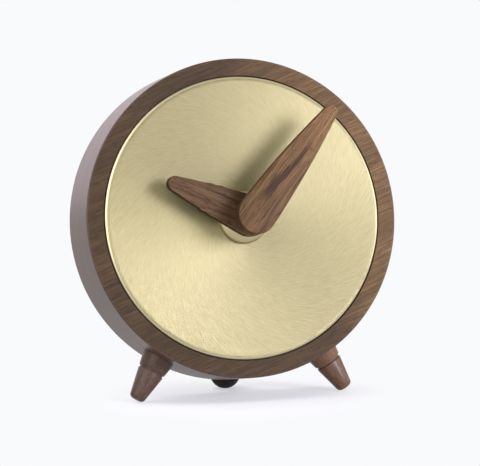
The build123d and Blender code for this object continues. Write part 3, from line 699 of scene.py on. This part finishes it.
# %% [markdown]
# A hand is cut from a thin board: a large round hub, a small round tip and two slightly bowed
# sides. It could be drawn as a curve and given a thickness, but a disc shows the steps better. The
# disc is the hub. The half of its rim that faces the tip is made smaller and moved out there, the
# two long edges that this leaves are divided and pushed apart into the bow, and the flat shape is
# extruded and its edges rounded. The hub, the reach and the thickness are read from the CAD node,
# which this hand replaces.


# %% Hands
hand_side_radius = 320 * mm
hand_front_round = 0.45 * mm
hand_back_round = 0.35 * mm
hand_side_cuts = 15
hand_rim_steps = 128
hand_face_drop = 0.05 * mm


def model_hand(name, node, place, tip_radius):
    """A wooden hand that points along X of its place."""
    along = place.to_3x3() @ Vector((1, 0, 0))
    low, high = span(node, along)
    back, face = span(node, out)
    face -= hand_face_drop
    hub_radius = -low
    tip_at = high - tip_radius
    select_all_objects_off()
    bpy.ops.mesh.primitive_circle_add(
        vertices=hand_rim_steps, radius=hub_radius, fill_type="NGON", location=(0, 0, back)
    )
    hand = start_edit(name)
    taper = math.asin((hub_radius - tip_radius) / tip_at)
    turning_point = hub_radius * math.sin(taper)
    choose(hand, "VERT", lambda co: co.x > turning_point)
    share = tip_radius / hub_radius
    bpy.ops.transform.resize(value=(share, share, 1), center_override=(0, 0, back))
    bpy.ops.transform.translate(value=(tip_at, 0, 0))
    long_edge = tip_at / 2
    bpy.ops.mesh.select_mode(type="EDGE")
    bpy.ops.mesh.select_all(action="DESELECT")
    edit = bmesh.from_edit_mesh(hand.data)
    for edge in edit.edges:
        edge.select_set(edge.calc_length() > long_edge)
    bmesh.update_edit_mesh(hand.data)
    bpy.ops.mesh.subdivide(number_cuts=hand_side_cuts)
    edit = bmesh.from_edit_mesh(hand.data)
    side_ends = (turning_point, tip_at + turning_point * share)
    stations = sorted({round(v.co.x, 7) for v in edit.verts if v.select})[1:-1]
    for station in stations:
        choose(hand, "VERT", lambda co: near(co.x, station) and abs(co.y) > tip_radius * 0.5)
        from_middle = station - sum(side_ends) / 2
        half_run = (side_ends[1] - side_ends[0]) / 2
        bow = (half_run**2 - from_middle**2) / (2 * hand_side_radius)
        edit = bmesh.from_edit_mesh(hand.data)
        half_width = max(v.co.y for v in edit.verts if v.select)
        wider = (half_width + bow) / half_width
        bpy.ops.transform.resize(value=(1, wider, 1), center_override=(station, 0, back))
    bpy.ops.mesh.select_all(action="SELECT")
    bpy.ops.mesh.extrude_region_move(TRANSFORM_OT_translate={"value": (0, 0, face - back)})
    choose(hand, "EDGE", lambda co: near(co.z, face))
    bpy.ops.mesh.bevel(offset=hand_front_round, segments=4, affect="EDGES")
    choose(hand, "EDGE", lambda co: near(co.z, back))
    bpy.ops.mesh.bevel(offset=hand_back_round, segments=3, affect="EDGES")
    end_edit(hand, place)
    return hand, back, face


minute_tip_radius = 2.1 * mm
hour_tip_radius = 2.4 * mm
hour_frame = turned_about(ring_front, pointing("hour_hand"), out)
minute_hand, minute_back, _ = model_hand(
    "minute_hand_wood", "minute_hand", minute_place, minute_tip_radius
)
hour_hand, hour_back, hour_face = model_hand(
    "hour_hand_wood", "hour_hand", hour_frame, hour_tip_radius
)

# %% [markdown]
# Each hand sits on a brass bush, so it is bored for it: the hour hand right through, the minute
# hand part of the way from behind. A Boolean modifier with a round bar makes a clean bore.

# %% Bores of the hands
overrun = 1 * mm
minute_bush_radius = 3.0 * mm
hour_bush_radius = 3.6 * mm
minute_bush_end = span("minute_hand_bush", out)[1]
cut_away(minute_hand, round_bar(minute_bush_radius, minute_back - overrun, minute_bush_end))
cut_away(hour_hand, round_bar(hour_bush_radius, hour_back - overrun, hour_face + overrun))
dress(minute_hand, walnut_minute, "minute_hand", "walnut_hand", "minute_hand")
dress(hour_hand, walnut_hour, "hour_hand", "walnut_hand", "hour_hand")

# %% [markdown]
# A foot is turned on a lathe: a cone with a groove, and an end whose edge is eased. Spinning a
# profile would do it, but extruding a disc again and again, and resizing it each time, is how it
# is done by hand, and it keeps the end cap whole. Where a foot meets the case it is shaped to it
# by a Boolean with the case's own round block. The right foot is a copy of the left one, swung
# about the dial's axis, and only then is each tip cut level with the floor, by a bisect.


# %% Feet
foot_spread_deg = 32.2
foot_plane_depth = 12.6 * mm
foot_base_radius = 5.15 * mm
foot_tip_radius = 2.75 * mm
foot_reach = 15.3 * mm
groove_start = 4.0 * mm
groove_width = 0.9 * mm
groove_depth = 0.38 * mm
edge_ease = 0.12 * mm
foot_flat_length = 1.95 * mm
foot_end_ease = 1.15 * mm
foot_steps = 96


def model_foot(name, place, radii, groove_at, end_at, end_ease, cap):
    """A turned foot along Z of its place, from inside the case to its end."""
    base_radius, end_radius = radii
    root = -base_radius

    def cone(z):
        return base_radius + (end_radius - base_radius) * z / end_at

    groove_end = groove_at + groove_width
    stations = [
        (groove_at, cone(groove_at)),
        (groove_at + edge_ease, cone(groove_at) - groove_depth),
        (groove_end - edge_ease, cone(groove_end) - groove_depth),
        (groove_end, cone(groove_end)),
        (end_at, end_radius),
        *cap,
    ]
    foot = turn_on_lathe(name, root, cone(root), stations, foot_steps)
    for lip in (groove_at, groove_end):
        choose(foot, "EDGE", lambda co: near(co.z, lip))
        bpy.ops.mesh.bevel(offset=edge_ease, segments=2, affect="EDGES")
    if end_ease:
        choose(foot, "EDGE", lambda co: near(co.z, stations[-1][0]))
        bpy.ops.mesh.bevel(offset=end_ease, segments=8, affect="EDGES", clamp_overlap=True)
    end_edit(foot, place)
    cut_away(foot, round_bar(case_radius, -case_depth, 0, vertices=512))
    return foot


def stand_level(foot):
    """Cuts a foot's end level with the floor."""
    pick_only(foot)
    bpy.ops.object.mode_set(mode="EDIT")
    bpy.ops.mesh.select_all(action="SELECT")
    bpy.ops.mesh.bisect(
        plane_co=(0, 0, floor_level),
        plane_no=(0, 0, -1),
        use_fill=True,
        clear_outer=True,
        threshold=cut_slack,
    )
    bpy.ops.object.mode_set(mode="OBJECT")
    bpy.ops.object.shade_smooth_by_angle(angle=smooth_angle)


floor_level = cad_box[0][2]
end_at = foot_reach - foot_tip_radius
flat_end = end_at + foot_flat_length
flat_radius = foot_tip_radius - (foot_base_radius - foot_tip_radius) * foot_flat_length / end_at
left_angle = math.radians(-90 - foot_spread_deg)
away = turn @ Vector((math.cos(left_angle), math.sin(left_angle), 0))
seat = ring_front + away * case_radius - out * foot_plane_depth
left_foot = model_foot(
    "front_foot_left_wood", turned_about(seat, out, away), (foot_base_radius, foot_tip_radius),
    groove_start, end_at, foot_end_ease, [(flat_end, flat_radius)],
)
pick_only(left_foot)
bpy.ops.object.duplicate(linked=False)
right_foot = bpy.context.view_layer.objects.active
right_foot.name = "front_foot_right_wood"
swing = Matrix.Rotation(math.radians(2 * foot_spread_deg), 4, out)
to_axis = Matrix.Translation(ring_front)
right_foot.matrix_world = to_axis @ swing @ to_axis.inverted()
bpy.ops.object.transform_apply(location=True, rotation=True, scale=False)
stand_level(left_foot)
stand_level(right_foot)
dress(left_foot, walnut_feet["front_foot_left"], "case", "walnut_foot", "front_foot_left")
dress(right_foot, walnut_feet["front_foot_right"], "case", "walnut_foot", "front_foot_right")

# %% [markdown]
# The rear foot is shorter and ends in a ball, whose rings come from the circle's own formula.

# %% Rear foot
rear_seat_drop = 44.5 * mm
rear_lean_deg = 25.9
rear_base_radius = 4.6 * mm
rear_ball_radius = 4.9 * mm
rear_groove_start = 2.4 * mm
rear_ball_at = 7.5 * mm
rear_lean = math.radians(rear_lean_deg)
rear_away = turn @ Vector((0, -math.sin(rear_lean), -math.cos(rear_lean)))
rear_seat = bench @ Vector((0, -rear_seat_drop, -case_depth))
ball_steps = 14
ball = []
for step in range(1, ball_steps):
    angle = math.radians(90) * step / ball_steps
    ball.append(
        (rear_ball_at + rear_ball_radius * math.sin(angle), rear_ball_radius * math.cos(angle))
    )
rear_foot = model_foot(
    "rear_foot_wood", turned_about(rear_seat, Vector((1, 0, 0)), rear_away),
    (rear_base_radius, rear_ball_radius), rear_groove_start, rear_ball_at, 0, ball,
)
stand_level(rear_foot)
dress(rear_foot, walnut_feet["rear_foot"], "case", "walnut_foot", "rear_foot")

# %% [markdown]
# The dial is a brass disc whose rim falls away in a soft curve, which catches a bright band. The
# nut cover is a low turned dome. The edge of each is two arcs, a tight one at the outside that
# runs on into a wide one. The disc is extruded up to where the first arc begins, and then on in
# small steps, each a little smaller. The dial's hole and the hollow for the nut are cut with bars.

# %% Dial and nut cover
dial_back, dial_face = span("dial", out)
dial_radius = span("dial", Vector((1, 0, 0)))[1]
rim_arcs = ((0.6 * mm, 90, 30), (2.8 * mm, 30, 0))
arc_steps = 8
closer_fit = 0.2 * mm
stem_hole_radius = 4.25 * mm


def turned_disc(name, radius, back, face, arcs, vertices):
    """A disc between two levels whose front edge is made of (radius, slope, slope) arcs."""
    slopes = [(bend, math.radians(steep), math.radians(flat)) for bend, steep, flat in arcs]
    rise = sum(bend * (math.cos(flat) - math.cos(steep)) for bend, steep, flat in slopes)
    stations = [(face - rise, radius)]
    for bend, steep, flat in slopes:
        level, reach = stations[-1]
        for step in range(1, arc_steps + 1):
            slope = steep + (flat - steep) * step / arc_steps
            up_by = bend * (math.cos(slope) - math.cos(steep))
            in_by = bend * (math.sin(steep) - math.sin(slope))
            stations.append((level + up_by, reach - in_by))
    piece = turn_on_lathe(name, back, radius, stations, vertices)
    end_edit(piece, bench)
    return piece


dial = turned_disc(
    "dial_brass", dial_radius + closer_fit, dial_back, dial_face, rim_arcs, vertices=256
)
cut_away(dial, round_bar(stem_hole_radius, dial_back - overrun, dial_face + overrun))
dress(dial, brass_dial, "case", "brushed_brass", "dial")

cover_arcs = ((2.0 * mm, 80, 40), (7 * mm, 40, 0))
cover_hole_radius = 3.0 * mm
nut_room = 0.15 * mm
cover_back, cover_face = span("nut_cover", out)
cover_radius = span("nut_cover", Vector((1, 0, 0)))[1]
nut_reach = max(span("fixing_nut", Vector((1, 0, 0)))[1], span("fixing_nut", up)[1])
cover = turned_disc(
    "nut_cover_brass", cover_radius, cover_back, cover_face, cover_arcs, vertices=128
)
hollow_top = span("fixing_nut", out)[1] + nut_room
cut_away(cover, round_bar(nut_reach + nut_room, cover_back - overrun, hollow_top))
cut_away(cover, round_bar(cover_hole_radius, cover_back - overrun, cover_face + overrun))
dress(cover, brass_turned, "case", "turned_brass", "nut_cover")

# %% [markdown]
# The cell lies across the back, where it is seen first when the clock is turned round. A real one
# has a steel can, a printed jacket rolled over at both ends, and a button on the positive end.
# It is a disc again, extruded through the steps of that profile, with its Z along the cell.


# %% Cell
cell_low, cell_high = span("battery", Vector((1, 0, 0)))
cell_bottom, cell_top = span("battery", up)
cell_back, cell_front = span("battery", out)
cell_radius = (cell_top - cell_bottom) / 2
cell_at = bench @ Vector((cell_low, (cell_bottom + cell_top) / 2, (cell_back + cell_front) / 2))
cell_frame = turned_about(cell_at, out, Vector((1, 0, 0)))
cell_length = cell_high - cell_low
button_radius = 2.75 * mm
button_height = 1.3 * mm
roll = 0.5 * mm
lip_width = 0.7 * mm
lip_depth = 0.25 * mm
shoulder = cell_length - button_height
cell_stations = [
    (lip_depth * 0.4, cell_radius - roll),
    (roll, cell_radius - roll * 0.1),
    (roll * 1.6, cell_radius),
    (shoulder - roll * 1.6, cell_radius),
    (shoulder - roll * 0.9, cell_radius - roll * 0.1),
    (shoulder - roll * 0.2, cell_radius - roll * 0.6),
    (shoulder, cell_radius - roll - lip_width * 0.5),
    (shoulder - lip_depth * 0.4, cell_radius - roll - lip_width * 0.8),
    (shoulder - lip_depth, cell_radius - roll - lip_width),
    (shoulder - lip_depth, button_radius + lip_width * 0.3),
    (shoulder, button_radius),
    (cell_length - lip_depth, button_radius),
    (cell_length, button_radius - lip_depth),
]
cell_end_radius = cell_radius - roll * 1.6
cell = turn_on_lathe("battery_cell", 0, cell_end_radius, cell_stations, vertices=96)
end_edit(cell, cell_frame)
cell_sleeve = cell_finish(cell_at.x, cell_length, roll, button_height)
dress(cell, cell_sleeve, "case", "cell_jacket", "battery")

# %% [markdown]
# The studio has a pale floor. What the camera sees of it, directly, through glass or in a
# reflection, is partly an even white and partly the real, shaded floor. Near the clock the shade
# counts for more, so that the clock stands on the floor and does not float.

# %% Floor
floor_width = 24.0
shade_reach = (22 * mm, 52 * mm)
select_all_objects_off()
bpy.ops.mesh.primitive_plane_add(size=floor_width)
floor = bpy.context.object
floor.name = "floor"

floor_finish = Finish("floor_pale")
x, y, _ = floor_finish.parts(floor_finish.object_space())
distance = floor_finish.maths("SQRT", x * x + y * y)
floor_finish.set(Base_Color=(0.90, 0.90, 0.92), Roughness=0.6, Specular_IOR_Level=0.2)
path = floor_finish.node("LightPath").socket.node.outputs
seen = Wire(floor_finish, path["Is Camera Ray"]) + Wire(floor_finish, path["Is Glossy Ray"])
seen = floor_finish.maths("MINIMUM", seen + Wire(floor_finish, path["Is Transmission Ray"]), 1.0)
white_floor = (0.95, 0.955, 0.975)
glow = floor_finish.node("Emission", None, {"Color": white_floor, "Strength": 1.0})
near_share = 0.5
share = seen * (floor_finish.smooth(distance, *shade_reach) * (1 - near_share) + near_share)
shaded = Wire(floor_finish, floor_finish.shader.outputs[0])
both = floor_finish.node("MixShader", None, {0: share, 1: shaded, 2: glow})
floor_finish.tree.links.new(
    both.socket, floor_finish.tree.nodes["Material Output"].inputs["Surface"]
)
floor.data.materials.append(floor_finish.material)
print("floor", floor.name)

# %% [markdown]
# One soft key lamp in front, on the right, gives most of the light and the hands' dark shadows. A
# wide lamp overhead lights the floor. A card at the left and the backdrop are seen only in
# reflections: the card draws the bright line on the dial's rim, and the backdrop, met at a
# grazing angle, gives the side of the case its lavender sheen. Two more cards fill the sides.

# %% Lamps
clock_middle = Vector((0, 0, ring_front.z))


def lamp(name, direction, distance, size, level, colour=(1, 1, 1), mirrored=True, lights=True):
    """A square soft lamp that faces the clock. A level of 1 lights white to white."""
    data = bpy.data.lights.new(name, "AREA")
    data.size = size
    data.color = colour
    data.energy = level * math.pi**2 * distance**2
    made = bpy.data.objects.new(name, data)
    bpy.context.scene.collection.objects.link(made)
    away = direction.normalized()
    made.location = clock_middle + away * distance
    made.rotation_euler = away.to_track_quat("Z", "Y").to_euler()
    made.visible_glossy = mirrored
    made.visible_diffuse = lights
    made.visible_camera = False
    return made


key_way = turn @ Vector((0.54, 0.11, 0.835))
left_way = turn @ Vector((-0.68, 0.25, 0.70))
side_way = turn @ Vector((-0.60, 0.80, -0.10))
right_way = turn @ Vector((0.95, 0.05, 0.30))
overhead_way = Vector((-0.15, -0.1, 1.0))
behind_way = Vector((0, 1, 0.12))
key_colour = (0.98, 1.0, 1.28)
behind_colour = (1.02, 0.88, 1.08)
lamps = (
    lamp("key", key_way, distance=2.5, size=0.95, level=0.96, colour=key_colour),
    lamp("overhead", overhead_way, distance=0.9, size=0.8, level=0.55, mirrored=False),
    lamp("left_card", left_way, distance=0.5, size=0.42, level=0.7, lights=False),
    lamp("side_card", side_way, distance=0.7, size=0.5, level=0.6),
    lamp(
        "backdrop", behind_way, distance=1.5, size=3.0, level=0.9, colour=behind_colour,
        lights=False,
    ),
    lamp("right_card", right_way, distance=0.7, size=0.4, level=0.25),
)
print("lamps", [light.name for light in lamps])

# %% [markdown]
# The world is white where the camera sees it, straight or through glass, and where metal mirrors
# it. It lights the clock at a lower level, so that the lamps keep their shadows.

# %% World
world = bpy.data.worlds.new("white_room")
bpy.context.scene.world = world
world.use_nodes = True
tree = world.node_tree
room = tree.nodes["Background"]
room.inputs["Color"].default_value = (0.97, 0.98, 1.0, 1)
room.inputs["Strength"].default_value = 0.32
white = tree.nodes.new("ShaderNodeBackground")
white.inputs["Color"].default_value = (0.97, 0.97, 0.965, 1)
white.inputs["Strength"].default_value = 1.0
light_path = tree.nodes.new("ShaderNodeLightPath")
shown = light_path.outputs["Is Camera Ray"]
for ray in ("Is Transmission Ray", "Is Glossy Ray"):
    either = tree.nodes.new("ShaderNodeMath")
    either.operation = "MAXIMUM"
    tree.links.new(shown, either.inputs[0])
    tree.links.new(light_path.outputs[ray], either.inputs[1])
    shown = either.outputs[0]
mix = tree.nodes.new("ShaderNodeMixShader")
for end, start in zip(mix.inputs, (shown, room.outputs[0], white.outputs[0])):
    tree.links.new(start, end)
tree.links.new(mix.outputs[0], tree.nodes["World Output"].inputs["Surface"])
print("world", world.name)

# %% [markdown]
# The camera stands a little to the left of the clock and slightly above it, about 0.95 m away,
# with the long lens of a product photograph.

# %% Camera
picture_width = 480
focal_length_px = 3036.6
sensor_width = 36.0
camera_place = (-0.26675, -0.91044, 0.15078)
camera_turn_deg = (84.0186, 0.7162, -16.4679)
camera_data = bpy.data.cameras.new("photo_view")
camera_data.sensor_width = sensor_width
camera_data.lens = sensor_width * focal_length_px / picture_width
camera_data.clip_start = 0.05
camera_data.clip_end = 50
camera = bpy.data.objects.new("photo_view", camera_data)
bpy.context.scene.collection.objects.link(camera)
camera.location = camera_place
camera.rotation_euler = [math.radians(angle) for angle in camera_turn_deg]
bpy.context.scene.camera = camera
bpy.context.scene.view_settings.view_transform = "Standard"
print("camera", tuple(camera.location))

# %% [markdown]
# The finer pieces stay inside the CAD model's box, which is printed.

# %% Print the CAD box
print("CAD box", cad_box)
